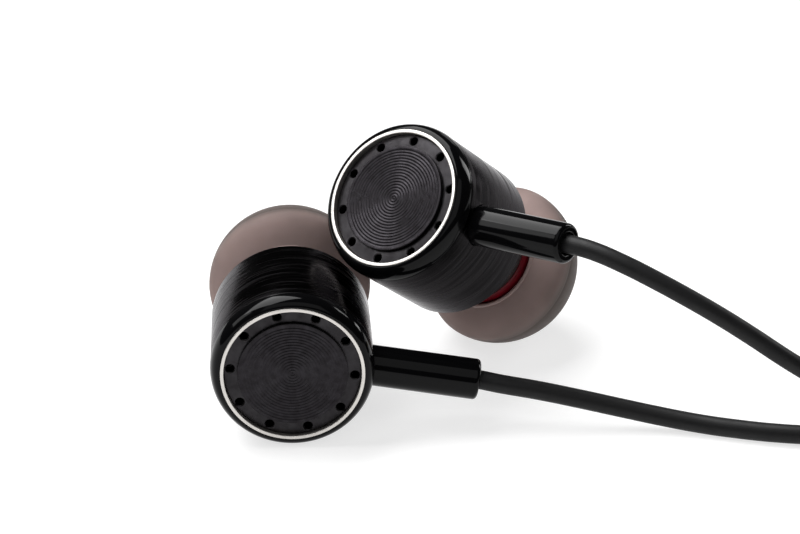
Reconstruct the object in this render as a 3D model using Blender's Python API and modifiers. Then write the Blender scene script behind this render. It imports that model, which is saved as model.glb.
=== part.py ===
"""Wired in-ear earphones: two dynamic earphones with silicone tips, two branch cables that meet in a
Y split with a cinch slider, and a main cable that ends in a straight 3.5 mm three-pole plug.

The left earphone lies on the table along +Y. The right one leans on it, with its tip on the table.
Both branch cables run along +X into a storage coil, and so does the main cable.

Sizes and places below are in millimetres; MM turns them into Blender's metres.
An earphone's own frame has its origin in the plane of its silver trim ring, +Z towards the ear tip
and +X along the cable stem.
"""

import math

import bpy
from mathutils import Matrix, Vector

MM = 0.001
OBJECT_NAME = "wired_earphones"
SEGMENTS = 24
SMALL_SEGMENTS = 16
MERGE = 0.000001

# Where each earphone lies: the centre of its trim ring, its heading from +Y towards +X, how far its
# tip dips below level, how far its stem is turned up about its axis, the turn of its vent holes, and
# how far its ear tip sits out from where it is pushed home.
EARPHONES = {
    "left": {
        "face": (-7.37, -12.28, 6.0), "heading": -1.4, "dip": 0.0, "stem_turn": -9.4,
        "vent_turn": -5.5, "tip_out": 0.05,
    },
    "right": {
        "face": (-0.09, -2.37, 15.45), "heading": 41.4, "dip": 39.2, "stem_turn": 7.4,
        "vent_turn": -20.0, "tip_out": 0.5,
    },
}

# Shell, from the trim ring's plane towards the tip
SHELL_RADIUS = 6.0
RIM_TOP = 0.02
RIM_WIDTH = 0.72
RIM_DEPTH = 1.25
RIM_FULLNESS = 2.5
BEZEL_END = 1.22
BEZEL_BORE = 5.30
TRIM_INNER = 5.03
TRIM_OUTER = 5.28
TRIM_TOP = -0.04
TRIM_SEAT = 0.70
FIT = 0.04
PLATE_TOP = 0.38
PLATE_FLANGE = 0.85
PLATE_BOTTOM = 1.18
VENT_COUNT = 10
VENT_DIAMETER = 0.62
VENT_CIRCLE = 4.55
DISC_RADIUS = 4.03
DISC_TOP = 0.08
DISC_BOTTOM = 0.33
BARREL_START = 1.28
BARREL_END = 9.40
BARREL_REAR_RADIUS = 5.97
BARREL_FRONT_RADIUS = 5.79
BARREL_BORE = 5.12
BARREL_LIP = 5.45
BARREL_LIP_END = 9.75

# Cable stem, across the shell
STEM_PLACE = 3.3
STEM_RADIUS = 1.5
STEM_BORE = 0.85
STEM_ROOT = 5.25
STEM_END = 13.8
STEM_FILLET = 0.35
STEM_HOLE_CLEARANCE = 0.06

# Nozzle housing, with a tapered shoulder that the red ring stands on
HOUSING_RADIUS = 5.05
HOUSING_REAR = 7.75
HOUSING_WALL = 9.0
HOUSING_FRONT = 9.92
SHOULDER_RADIUS = 3.58
SHOULDER_END = 12.75
NOZZLE_RADIUS = 2.3
NOZZLE_LIP_RADIUS = 2.5
NOZZLE_BORE = 1.75
NOZZLE_END = 16.2
MESH_SEAT_RADIUS = 1.95
MESH_SEAT = 15.9
FRONT_RING_RADIUS = 3.6
FRONT_RING_END = 13.88
DAMPER_PLACE = 12.3
DAMPER_THICKNESS = 0.6

# Silicone ear tip
TIP_RIM = 13.15
TIP_RIM_RADIUS = 4.0
TIP_RIM_WALL = 0.3
TIP_RADIUS = 5.95
TIP_WIDEST = 14.8
TIP_DOME = 5.6
TIP_WALL = 0.6
TIP_BORE = 1.65
TIP_SOCKET = 2.55
TIP_SOCKET_END = 16.8
TIP_CORE_RADIUS = 3.2
TIP_CORE_REAR = 14.0
TIP_FRONT = 20.0

# Dynamic driver, from the back face of its frame
DRIVER_BACK = 4.3
DRIVER_RADIUS = 5.05
YOKE_RADIUS = 3.4
YOKE_BORE = 3.0
MAGNET_RADIUS = 2.35
TOP_PLATE_RADIUS = 2.45
VOICE_COIL_INNER = 2.62
VOICE_COIL_OUTER = 2.86
DIAPHRAGM_RADIUS = 4.75
DIAPHRAGM_THICKNESS = 0.1

# Cables, with their routes' own points
BRANCH_DIAMETER = 1.4
MAIN_DIAMETER = 2.0
POINT_SPACING = 2.4
FACE_GAP = 0.3
LEFT_ROUTE = [
    (7.68, -8.78, 3.47), (10.58, -8.76, 2.90), (13.48, -8.78, 2.25), (16.38, -8.93, 1.62),
    (19.29, -9.28, 1.10), (22.19, -9.88, 0.78), (25.09, -10.68, 0.72), (27.99, -11.34, 0.72),
    (31.13, -11.78, 0.78), (34.13, -12.03, 0.98),
]
RIGHT_ROUTE = [
    (14.35, -9.79, 14.75), (16.67, -10.89, 14.17), (19.00, -11.58, 13.19), (21.32, -11.95, 11.97),
    (23.64, -12.11, 10.56), (25.96, -12.15, 8.97), (28.28, -12.15, 7.28), (29.50, -12.15, 6.45),
    (31.10, -12.13, 5.45), (32.80, -12.10, 4.78), (35.20, -12.08, 4.36),
]
LEFT_TAIL = [(51.5, -12.0, 2.45), (54.5, -11.5, 2.05), (57.2, -11.25, 1.85)]
RIGHT_TAIL = [(50.8, -12.15, 5.25), (53.0, -12.5, 3.9), (55.2, -12.85, 2.45), (57.4, -12.93, 1.88)]
MAIN_TAIL = [(83.6, 14.75, 7.0), (80.8, 14.0, 5.4), (78.0, 13.1, 3.9)]

# Storage coils: centre line of the cables' entry, columns and rows of turns
CORD_LINE = -12.08
COIL_LIFT = 0.5
BRANCH_COIL_X = 43.13
BRANCH_COIL_RADIUS = 7.0
BRANCH_COLUMNS = 4
BRANCH_ROWS = 2
MAIN_COIL_X = 93.63
MAIN_COIL_RADIUS = 11.5
MAIN_COLUMNS = 3
MAIN_ROWS = 4
TIE_THICKNESS = 0.4
TIE_WIDTH = 3.0
TIE_GAP = 0.1

# Y split and cinch slider
PAIR_SPACING = 1.7
PAIR_HEIGHT = 1.8
SPLIT_START = 71.4
SPLIT_LENGTH = 12.0
SPLIT_WIDTH = 4.8
SPLIT_END_WIDTH = 3.4
SLIDER_LENGTH = 5.5
SLIDER_WIDTH = 4.6
SLIDER_BORE = 1.6
STRAIGHT_START = 58.6

# Plug, along -X from the end of its strain relief
PLUG_Y = 12.6
PLUG_SHOULDER_X = 51.2
GRIP_RADIUS = 3.25
GRIP_LENGTH = 15.0
RELIEF_LENGTH = 9.0
RELIEF_ROOT_RADIUS = 1.9
RELIEF_END_RADIUS = 1.45
RELIEF_BORE = 1.05
PIN_RADIUS = 1.75
COLLAR_RADIUS = 1.72
SLEEVE_END = 8.35
RING_START = 9.0
RING_END = 11.0
PIN_LENGTH = 14.0


def clear_scene():
    for old in list(bpy.data.objects):
        bpy.data.objects.remove(old, do_unlink=True)


def new_collection(name):
    made = bpy.data.collections.new(name)
    bpy.context.scene.collection.children.link(made)
    return made


def finish(name, colour, roughness, metallic=0.0):
    made = bpy.data.materials.get(name)
    if made is None:
        made = bpy.data.materials.new(name)
        made.use_nodes = True
        shader = made.node_tree.nodes["Principled BSDF"]
        shader.inputs["Base Color"].default_value = (*colour, 1.0)
        shader.inputs["Roughness"].default_value = roughness
        shader.inputs["Metallic"].default_value = metallic
        made.diffuse_color = (*colour, 1.0)
    return made


FINISHES = {
    "gloss_black": ((0.012, 0.012, 0.013), 0.08, 0.0),
    "silver": ((0.85, 0.85, 0.83), 0.18, 1.0),
    "dark_plate": ((0.05, 0.048, 0.05), 0.35, 1.0),
    "spun_disc": ((0.06, 0.056, 0.06), 0.32, 1.0),
    "brushed_black": ((0.035, 0.034, 0.036), 0.36, 1.0),
    "red_ring": ((0.22, 0.004, 0.012), 0.35, 0.0),
    "black_plastic": ((0.02, 0.02, 0.02), 0.5, 0.0),
    "steel_mesh": ((0.45, 0.45, 0.45), 0.4, 1.0),
    "felt": ((0.55, 0.54, 0.5), 0.95, 0.0),
    "silicone": ((0.18, 0.15, 0.145), 0.35, 0.0),
    "frame_plastic": ((0.04, 0.04, 0.045), 0.55, 0.0),
    "plated_steel": ((0.55, 0.55, 0.56), 0.3, 1.0),
    "magnet": ((0.5, 0.5, 0.52), 0.25, 1.0),
    "copper_wire": ((0.72, 0.32, 0.12), 0.3, 1.0),
    "film": ((0.75, 0.72, 0.6), 0.25, 0.0),
    "circuit_board": ((0.02, 0.12, 0.05), 0.45, 0.0),
    "cable_rubber": ((0.018, 0.018, 0.019), 0.5, 0.0),
    "tie_plastic": ((0.03, 0.03, 0.03), 0.45, 0.0),
    "gold": ((0.83, 0.62, 0.28), 0.2, 1.0),
    "insulator": ((0.02, 0.02, 0.02), 0.4, 0.0),
}


def place(item, name, look, collection, parent=None):
    """Names an object, gives it its material and puts it under its parent, in the part's collection."""
    item.name = name
    if look is not None:
        item.data.materials.append(finish(look, *FINISHES[look]))
    collection.objects.link(item)
    if parent is not None:
        item.parent = parent
    return item


def arc(centre_r, centre_z, radius, start, end, count):
    """Points of a round stretch of a profile. Angles are in degrees, from outwards towards +Z."""
    step = (end - start) / (count - 1)
    angles = [math.radians(start + step * i) for i in range(count)]
    return [(centre_r + radius * math.cos(a), centre_z + radius * math.sin(a)) for a in angles]


def oval(half_width, centre_z, half_length, start, end, count):
    """Points of an elliptical stretch of a profile that is centred on the axis."""
    step = (end - start) / (count - 1)
    angles = [math.radians(start + step * i) for i in range(count)]
    return [(half_width * math.cos(a), centre_z + half_length * math.sin(a)) for a in angles]


def turned(name, outline, look, collection, parent=None, segments=SEGMENTS):
    """A turned piece: its outline in (radius, height), swept once round Z. An outline with both ends
    on the axis stays open there, and any other is closed into a ring."""
    area = sum(a[0] * b[1] - b[0] * a[1] for a, b in zip(outline, outline[1:] + outline[:1]))
    if area > 0:
        outline = outline[::-1]
    on_axis = [r == 0 for r, _ in outline]
    if any(on_axis):
        while not (on_axis[0] and on_axis[-1]):
            outline = outline[1:] + outline[:1]
            on_axis = on_axis[1:] + on_axis[:1]
    mesh = bpy.data.meshes.new(name)
    points = [(r * MM, 0.0, z * MM) for r, z in outline]
    edges = [(i, i + 1) for i in range(len(points) - 1)]
    if not any(on_axis):
        edges.append((len(points) - 1, 0))
    mesh.from_pydata(points, edges, [])
    item = place(bpy.data.objects.new(name, mesh), name, look, collection, parent)
    screw = item.modifiers.new("Screw", "SCREW")
    screw.steps = segments
    screw.render_steps = segments
    screw.use_merge_vertices = True
    screw.merge_threshold = MERGE
    screw.use_smooth_shade = True
    return item


def rod(radius, low, high, segments):
    """The outline of a plain rod between two heights."""
    return {"radius": radius, "low": low, "high": high, "segments": segments}


def cutter(name, rods, collection, parent, matrices):
    """One hidden mesh of cylinders, each along Z of its own matrix, that cuts holes."""
    bpy.ops.object.select_all(action="DESELECT")
    made = []
    for shape, matrix in zip(rods, matrices):
        depth = (shape["high"] - shape["low"]) * MM
        bpy.ops.mesh.primitive_cylinder_add(
            vertices=shape["segments"], radius=shape["radius"] * MM, depth=depth
        )
        item = bpy.context.object
        middle = (shape["high"] + shape["low"]) / 2 * MM
        item.data.transform(matrix @ Matrix.Translation((0, 0, middle)))
        made.append(item)
    for item in made:
        item.select_set(True)
    bpy.context.view_layer.objects.active = made[0]
    if len(made) > 1:
        bpy.ops.object.join()
    item = bpy.context.view_layer.objects.active
    for home in list(item.users_collection):
        home.objects.unlink(item)
    place(item, name, None, collection, parent)
    item.hide_render = True
    item.display_type = "WIRE"
    return item


def cut(item, tool):
    boolean = item.modifiers.new("Cut", "BOOLEAN")
    boolean.operation = "DIFFERENCE"
    boolean.solver = "EXACT"
    boolean.object = tool


def around_axis(count, radius, turn=0.0):
    """Matrices of positions spaced evenly on a circle about Z."""
    angles = [math.radians(turn + 360 / count * i) for i in range(count)]
    return [
        Matrix.Translation((radius * MM * math.cos(a), radius * MM * math.sin(a), 0)) for a in angles
    ]


def bezel_outline():
    """A rim that rises from the trim ring in a superellipse and meets the barrel with its full radius."""
    rim = []
    for angle in (86, 70, 52, 34, 16, 4):
        across = math.cos(math.radians(angle)) ** (2 / RIM_FULLNESS)
        along = math.sin(math.radians(angle)) ** (2 / RIM_FULLNESS)
        rim.append((SHELL_RADIUS - RIM_WIDTH * (1 - across), RIM_TOP + RIM_DEPTH * (1 - along)))
    seat = TRIM_OUTER + FIT
    inner = [
        (BEZEL_BORE, BEZEL_END), (BEZEL_BORE, TRIM_SEAT + 0.1), (TRIM_INNER + 0.06, TRIM_SEAT + 0.1),
        (TRIM_INNER + 0.06, TRIM_SEAT), (seat, TRIM_SEAT), (seat, RIM_TOP + 0.04),
    ]
    return rim + [(SHELL_RADIUS - 0.05, BEZEL_END)] + inner


def trim_ring_outline():
    bottom = TRIM_SEAT - 0.06
    return [
        (TRIM_INNER, bottom), (TRIM_INNER, TRIM_TOP + 0.05), (TRIM_INNER + 0.05, TRIM_TOP),
        (TRIM_OUTER - 0.05, TRIM_TOP), (TRIM_OUTER, TRIM_TOP + 0.05), (TRIM_OUTER, bottom),
    ]


def vent_plate_outline():
    """A plate whose flange is held by the bezel and whose face fills the trim ring."""
    face, flange = TRIM_INNER - 0.06, BEZEL_BORE - 0.05
    return [
        (0, PLATE_TOP), (face, PLATE_TOP), (face, PLATE_FLANGE), (flange, PLATE_FLANGE),
        (flange, PLATE_BOTTOM), (0, PLATE_BOTTOM),
    ]


def barrel_outline():
    return [
        (BARREL_BORE, BARREL_START), (BARREL_REAR_RADIUS - 0.07, BARREL_START),
        (BARREL_REAR_RADIUS, BARREL_START + 0.07), (BARREL_FRONT_RADIUS, BARREL_END),
        (BARREL_LIP, BARREL_LIP_END), (BARREL_BORE, BARREL_LIP_END),
    ]


def nozzle_outline():
    skirt = [
        (4.5, HOUSING_REAR), (HOUSING_RADIUS, HOUSING_REAR), (HOUSING_RADIUS, HOUSING_FRONT),
        (SHOULDER_RADIUS, SHOULDER_END),
    ]
    nozzle = [
        (NOZZLE_RADIUS, SHOULDER_END), (NOZZLE_RADIUS, NOZZLE_END - 1.6),
        (NOZZLE_LIP_RADIUS, NOZZLE_END - 1.3), (NOZZLE_LIP_RADIUS, NOZZLE_END - 0.7),
        (NOZZLE_RADIUS, NOZZLE_END), (MESH_SEAT_RADIUS, NOZZLE_END), (MESH_SEAT_RADIUS, MESH_SEAT),
    ]
    bore = [(NOZZLE_BORE, MESH_SEAT), (NOZZLE_BORE, HOUSING_WALL), (4.5, HOUSING_WALL)]
    return skirt + nozzle + bore


def front_ring_outline():
    rear = SHOULDER_END + 0.06
    inner = NOZZLE_RADIUS + 0.08
    edge = 0.08
    return [
        (inner, rear), (FRONT_RING_RADIUS - edge, rear), (FRONT_RING_RADIUS, rear + edge),
        (FRONT_RING_RADIUS, FRONT_RING_END - edge), (FRONT_RING_RADIUS - edge, FRONT_RING_END),
        (inner, FRONT_RING_END),
    ]


def skirt_arc(radius, rim_radius, count):
    """An elliptical stretch of the skirt, from its rim to where it is widest."""
    half_length = (TIP_WIDEST - TIP_RIM) / math.sqrt(1 - (rim_radius / radius) ** 2)
    rim_angle = -math.degrees(math.acos(rim_radius / radius))
    return oval(radius, TIP_WIDEST, half_length, rim_angle, 0, count)


def ear_tip_outline():
    """A mushroom: a dome with a skirt that turns back over the core which grips the nozzle."""
    skirt = skirt_arc(TIP_RADIUS, TIP_RIM_RADIUS, 4)
    dome = oval(TIP_RADIUS, TIP_WIDEST, TIP_DOME, 13, 64, 5)
    mouth = [(TIP_BORE + 0.4, TIP_FRONT), (TIP_BORE, TIP_FRONT - 0.4)]
    socket = [
        (TIP_BORE, TIP_SOCKET_END + 0.3), (TIP_SOCKET, TIP_SOCKET_END), (TIP_SOCKET, TIP_CORE_REAR),
    ]
    core = [
        (TIP_CORE_RADIUS - 0.15, TIP_CORE_REAR), (TIP_CORE_RADIUS, TIP_CORE_REAR + 0.15),
        (TIP_CORE_RADIUS, TIP_SOCKET_END - 0.2), (TIP_CORE_RADIUS + 0.07, TIP_SOCKET_END + 1.1),
    ]
    inner_radius = TIP_RADIUS - TIP_WALL
    inside = oval(inner_radius, TIP_WIDEST, TIP_DOME - TIP_WALL, 45, 15, 3)
    inside += reversed(skirt_arc(inner_radius, TIP_RIM_RADIUS - TIP_RIM_WALL, 4))
    return skirt + dome + mouth + socket + core + inside


def stem_outline():
    end = arc(STEM_RADIUS - STEM_FILLET, STEM_END - STEM_FILLET, STEM_FILLET, 0, 90, 3)
    mouth = [(STEM_BORE + 0.12, STEM_END), (STEM_BORE, STEM_END - 0.12), (STEM_BORE, STEM_ROOT)]
    return [(STEM_RADIUS, STEM_ROOT)] + end + mouth


def disc_outline(radius, low, high, edge=0.0):
    if edge == 0.0:
        return [(0, low), (radius, low), (radius, high), (0, high)]
    return [(0, low), (radius - edge, low), (radius, low + edge), (radius, high), (0, high)]


def driver_outlines():
    """Outline and material of each piece of the driver, from its frame's back face."""
    b = DRIVER_BACK
    seat = b + 1.8
    top = [
        (0, b + 2.72), (1.6, b + 2.58), (2.75, b + 2.12), (3.3, b + 2.38), (4.2, b + 2.38),
        (DIAPHRAGM_RADIUS, b + 2.16),
    ]
    under = [(r, z - DIAPHRAGM_THICKNESS) for r, z in reversed(top)]
    return {
        "terminal_board": (disc_outline(2.6, b - 0.55, b - 0.3), "circuit_board"),
        "driver_frame": ([
            (YOKE_RADIUS + 0.05, b), (DRIVER_RADIUS, b), (DRIVER_RADIUS, b + 2.75), (4.85, b + 2.75),
            (4.85, seat), (4.5, seat), (3.9, b + 0.6), (YOKE_RADIUS + 0.05, b + 0.6),
        ], "frame_plastic"),
        "driver_yoke": ([
            (0, b - 0.15), (YOKE_RADIUS, b - 0.15), (YOKE_RADIUS, b + 1.6), (YOKE_BORE, b + 1.6),
            (YOKE_BORE, b + 0.3), (0, b + 0.3),
        ], "plated_steel"),
        "driver_magnet": (disc_outline(MAGNET_RADIUS, b + 0.35, b + 1.2), "magnet"),
        "driver_top_plate": (disc_outline(TOP_PLATE_RADIUS, b + 1.25, b + 1.6), "plated_steel"),
        "voice_coil": ([
            (VOICE_COIL_INNER, b + 0.85), (VOICE_COIL_OUTER, b + 0.85),
            (VOICE_COIL_OUTER, b + 1.95), (VOICE_COIL_INNER, b + 1.95),
        ], "copper_wire"),
        "diaphragm": (top + under, "film"),
        "driver_cover": (disc_outline(DRIVER_RADIUS, b + 3.0, b + 3.2), "plated_steel"),
    }


def earphone_matrix(spec):
    """The frame of an earphone, from its face, heading, dip and stem turn."""
    heading, dip, turn = (math.radians(spec[key]) for key in ("heading", "dip", "stem_turn"))
    level = Vector((math.sin(heading), math.cos(heading), 0))
    forward = math.cos(dip) * level - math.sin(dip) * Vector((0, 0, 1))
    side = Vector((math.cos(heading), -math.sin(heading), 0))
    up = side.cross(forward)
    stem = math.cos(turn) * side + math.sin(turn) * up
    across = forward.cross(stem)
    rotation = Matrix((stem, across, forward)).transposed().to_4x4()
    return Matrix.Translation(Vector(spec["face"]) * MM) @ rotation


def make_earphone(side, spec, parts, cutters):
    frame = bpy.data.objects.new(side + "_earphone_frame", None)
    parts.objects.link(frame)
    frame.matrix_world = earphone_matrix(spec)

    def add(name, outline, look):
        return turned(f"{side}_{name}", outline, look, parts, frame)

    add("bezel", bezel_outline(), "gloss_black")
    add("trim_ring", trim_ring_outline(), "silver")
    plate = add("vent_plate", vent_plate_outline(), "dark_plate")
    vents = [rod(VENT_DIAMETER / 2, PLATE_TOP - 0.3, PLATE_BOTTOM + 0.3, 8)] * VENT_COUNT
    places = around_axis(VENT_COUNT, VENT_CIRCLE, spec["vent_turn"])
    cut(plate, cutter(side + "_vent_cutter", vents, cutters, frame, places))
    add("centre_disc", disc_outline(DISC_RADIUS, DISC_TOP, DISC_BOTTOM, 0.06), "spun_disc")

    barrel = add("barrel", barrel_outline(), "brushed_black")
    across = Matrix.Translation((0, 0, STEM_PLACE * MM)) @ Matrix.Rotation(math.pi / 2, 4, "Y")
    hole = rod(STEM_RADIUS + STEM_HOLE_CLEARANCE, STEM_ROOT - 1.0, SHELL_RADIUS + 1.0, SMALL_SEGMENTS)
    cut(barrel, cutter(side + "_stem_cutter", [hole], cutters, frame, [across]))
    stem = turned(side + "_stem", stem_outline(), "gloss_black", parts, frame, SMALL_SEGMENTS)
    stem.location = (0, 0, STEM_PLACE * MM)
    stem.rotation_euler = (0, math.pi / 2, 0)

    add("nozzle_housing", nozzle_outline(), "black_plastic")
    add("front_ring", front_ring_outline(), "red_ring")
    mesh_radius = MESH_SEAT_RADIUS - 0.05
    add("nozzle_mesh", disc_outline(mesh_radius, MESH_SEAT + 0.05, NOZZLE_END - 0.08), "steel_mesh")
    damper_radius = NOZZLE_BORE - 0.06
    add("damper", disc_outline(damper_radius, DAMPER_PLACE, DAMPER_PLACE + DAMPER_THICKNESS), "felt")
    tip = add("ear_tip", ear_tip_outline(), "silicone")
    tip.location = (0, 0, spec["tip_out"] * MM)

    made = {name: add(name, outline, look) for name, (outline, look) in driver_outlines().items()}
    cover_low = DRIVER_BACK + 2.8
    cover_holes = [rod(1.0, cover_low, cover_low + 0.6, 10)]
    cover_holes += [rod(0.45, cover_low, cover_low + 0.6, 6)] * 6
    cover_places = [Matrix.Identity(4)] + around_axis(6, 2.7)
    cover_cutter = cutter(side + "_cover_cutter", cover_holes, cutters, frame, cover_places)
    cut(made["driver_cover"], cover_cutter)
    return frame


def smooth_points(route, spacing):
    """Points at an even spacing on a smooth curve through a route's own points."""
    points = [Vector(p) for p in route]
    ends = [points[0] * 2 - points[1]] + points + [points[-1] * 2 - points[-2]]
    fine = []
    for i in range(1, len(ends) - 2):
        before, start, end, after = ends[i - 1:i + 3]
        for step in range(20):
            t = step / 20
            fine.append(
                0.5 * (
                    2 * start + (end - before) * t
                    + (2 * before - 5 * start + 4 * end - after) * t ** 2
                    + (3 * start - before - 3 * end + after) * t ** 3
                )
            )
    fine.append(points[-1])
    along = [0.0]
    for a, b in zip(fine, fine[1:]):
        along.append(along[-1] + (b - a).length)
    count = max(2, round(along[-1] / spacing) + 1)
    result = []
    k = 0
    for i in range(count):
        target = along[-1] * i / (count - 1)
        while k < len(along) - 2 and along[k + 1] < target:
            k += 1
        share = (target - along[k]) / (along[k + 1] - along[k])
        result.append(fine[k].lerp(fine[k + 1], min(1.0, share)))
    return result


def tube(name, route, diameter, parts):
    """A cable stretch: a round tube along a smooth curve through the route's points."""
    points = smooth_points(route, POINT_SPACING * diameter)
    curve = bpy.data.curves.new(name, "CURVE")
    curve.dimensions = "3D"
    curve.fill_mode = "FULL"
    curve.bevel_depth = diameter / 2 * MM
    curve.bevel_resolution = 2
    curve.use_fill_caps = True
    spline = curve.splines.new("POLY")
    spline.points.add(len(points) - 1)
    for target, point in zip(spline.points, points):
        target.co = (*(point * MM), 1.0)
    return place(bpy.data.objects.new(name, curve), name, "cable_rubber", parts)


def coil(name, centre, mean_radius, diameter, turns, low, parts):
    """The outer shape of a neat coil of (columns, rows) turns: a ring with slightly rounded edges."""
    columns, rows = turns
    half = columns * diameter / 2
    inner, outer, high = mean_radius - half, mean_radius + half, low + rows * diameter
    edge = diameter / 4
    outline = [
        (inner + edge, low), (outer - edge, low), (outer, low + edge), (outer, high - edge),
        (outer - edge, high), (inner + edge, high), (inner, high - edge), (inner, low + edge),
    ]
    item = turned(name, outline, "cable_rubber", parts)
    item.location = (centre[0] * MM, centre[1] * MM, 0)
    return item


def rectangle(spline_home, width, height):
    """A closed rectangular spline about the origin of a 2D curve."""
    spline = spline_home.splines.new("POLY")
    spline.points.add(3)
    corners = [(-1, -1), (1, -1), (1, 1), (-1, 1)]
    for target, (x, y) in zip(spline.points, corners):
        target.co = (x * width / 2 * MM, y * height / 2 * MM, 0, 1)
    spline.use_cyclic_u = True


def tie(name, coil_centre, mean_radius, section_width, section_low, section_high, parts):
    """A band round a coil's section, on the coil's +X side. The coil rests on it."""
    curve = bpy.data.curves.new(name, "CURVE")
    curve.dimensions = "2D"
    curve.fill_mode = "BOTH"
    curve.extrude = TIE_WIDTH / 2 * MM
    inner_width = section_width + 2 * TIE_GAP + 0.8
    inner_height = section_high - section_low + 2 * TIE_GAP
    rectangle(curve, inner_width + 2 * TIE_THICKNESS, inner_height + 2 * TIE_THICKNESS)
    rectangle(curve, inner_width, inner_height)
    item = place(bpy.data.objects.new(name, curve), name, "tie_plastic", parts)
    item.rotation_euler = (math.pi / 2, 0, 0)
    middle = (section_low + section_high) / 2
    item.location = ((coil_centre[0] + mean_radius - 0.3) * MM, coil_centre[1] * MM, middle * MM)
    return item


def make_branches(stem_ends, parts):
    """Both branch cables: from the stem into their own half of the coil, and on to the Y split."""
    outer = BRANCH_COIL_RADIUS + (BRANCH_COLUMNS - 1) / 2 * BRANCH_DIAMETER
    centre = (BRANCH_COIL_X, CORD_LINE + outer)
    ring_edge = BRANCH_COIL_RADIUS + BRANCH_COLUMNS / 2 * BRANCH_DIAMETER
    reach = math.sqrt(ring_edge ** 2 - (outer - BRANCH_DIAMETER / 2) ** 2) + FACE_GAP
    height = BRANCH_ROWS * BRANCH_DIAMETER
    turns = (BRANCH_COLUMNS, BRANCH_ROWS)
    sides = {"left": (LEFT_ROUTE, LEFT_TAIL, 1), "right": (RIGHT_ROUTE, RIGHT_TAIL, -1)}
    low = COIL_LIFT
    for side, (route, tail, sign) in sides.items():
        entry = (BRANCH_COIL_X - reach, CORD_LINE, low + BRANCH_DIAMETER / 2)
        leave = (BRANCH_COIL_X + reach, CORD_LINE, low + height - BRANCH_DIAMETER / 2)
        line = CORD_LINE + sign * PAIR_SPACING / 2
        straight = [(STRAIGHT_START, line, PAIR_HEIGHT), (SPLIT_START - FACE_GAP, line, PAIR_HEIGHT)]
        tube(side + "_cable", [stem_ends[side]] + route + [entry], BRANCH_DIAMETER, parts)
        coil(side + "_coil", centre, BRANCH_COIL_RADIUS, BRANCH_DIAMETER, turns, low, parts)
        tube(side + "_cable_tail", [leave] + tail + straight, BRANCH_DIAMETER, parts)
        low += height + FACE_GAP
    top = low - FACE_GAP
    width = BRANCH_COLUMNS * BRANCH_DIAMETER
    tie("branch_coil_tie", centre, BRANCH_COIL_RADIUS, width, COIL_LIFT, top, parts)


def make_split(parts):
    """The Y split: a flat teardrop with softened edges."""
    curve = bpy.data.curves.new("y_split", "CURVE")
    curve.dimensions = "2D"
    curve.fill_mode = "BOTH"
    curve.extrude = PAIR_HEIGHT * MM
    spline = curve.splines.new("POLY")
    half, end_half, soft = SPLIT_WIDTH / 2, SPLIT_END_WIDTH / 2, 0.8
    upper = [
        (0, half - soft), (soft * 0.3, half - soft * 0.3), (soft, half), (SPLIT_LENGTH * 0.45, half),
        (SPLIT_LENGTH - soft, end_half), (SPLIT_LENGTH, end_half - soft),
    ]
    outline = upper + [(x, -y) for x, y in reversed(upper)]
    spline.points.add(len(outline) - 1)
    for target, (x, y) in zip(spline.points, outline):
        target.co = (x * MM, y * MM, 0, 1)
    spline.use_cyclic_u = True
    item = place(bpy.data.objects.new("y_split", curve), "y_split", "black_plastic", parts)
    item.location = (SPLIT_START * MM, CORD_LINE * MM, PAIR_HEIGHT * MM)
    weld = item.modifiers.new("Weld", "WELD")
    weld.merge_threshold = MERGE
    bevel = item.modifiers.new("Bevel", "BEVEL")
    bevel.width = 0.5 * MM
    bevel.segments = 2
    bevel.limit_method = "ANGLE"
    bevel.angle_limit = math.radians(50)
    return item


def make_slider(parts, cutters):
    """The cinch slider, parked against the Y split, with a bore for each branch cable."""
    bpy.ops.mesh.primitive_cube_add(size=1)
    item = bpy.context.object
    for home in list(item.users_collection):
        home.objects.unlink(item)
    place(item, "cinch_slider", "black_plastic", parts)
    size = Vector((SLIDER_LENGTH, SLIDER_WIDTH, PAIR_HEIGHT * 2)) * MM
    item.data.transform(Matrix.Diagonal((*size, 1)))
    middle_x = SPLIT_START - FACE_GAP - SLIDER_LENGTH / 2
    item.location = (middle_x * MM, CORD_LINE * MM, PAIR_HEIGHT * MM)
    bevel = item.modifiers.new("Bevel", "BEVEL")
    bevel.width = 1.0 * MM
    bevel.segments = 3
    bore = rod(SLIDER_BORE / 2, -SLIDER_LENGTH, SLIDER_LENGTH, 16)
    along = Matrix.Rotation(math.pi / 2, 4, "Y")
    places = [Matrix.Translation((0, sign * PAIR_SPACING / 2 * MM, 0)) @ along for sign in (1, -1)]
    cut(item, cutter("slider_cutter", [bore, bore], cutters, item, places))
    return item


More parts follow.
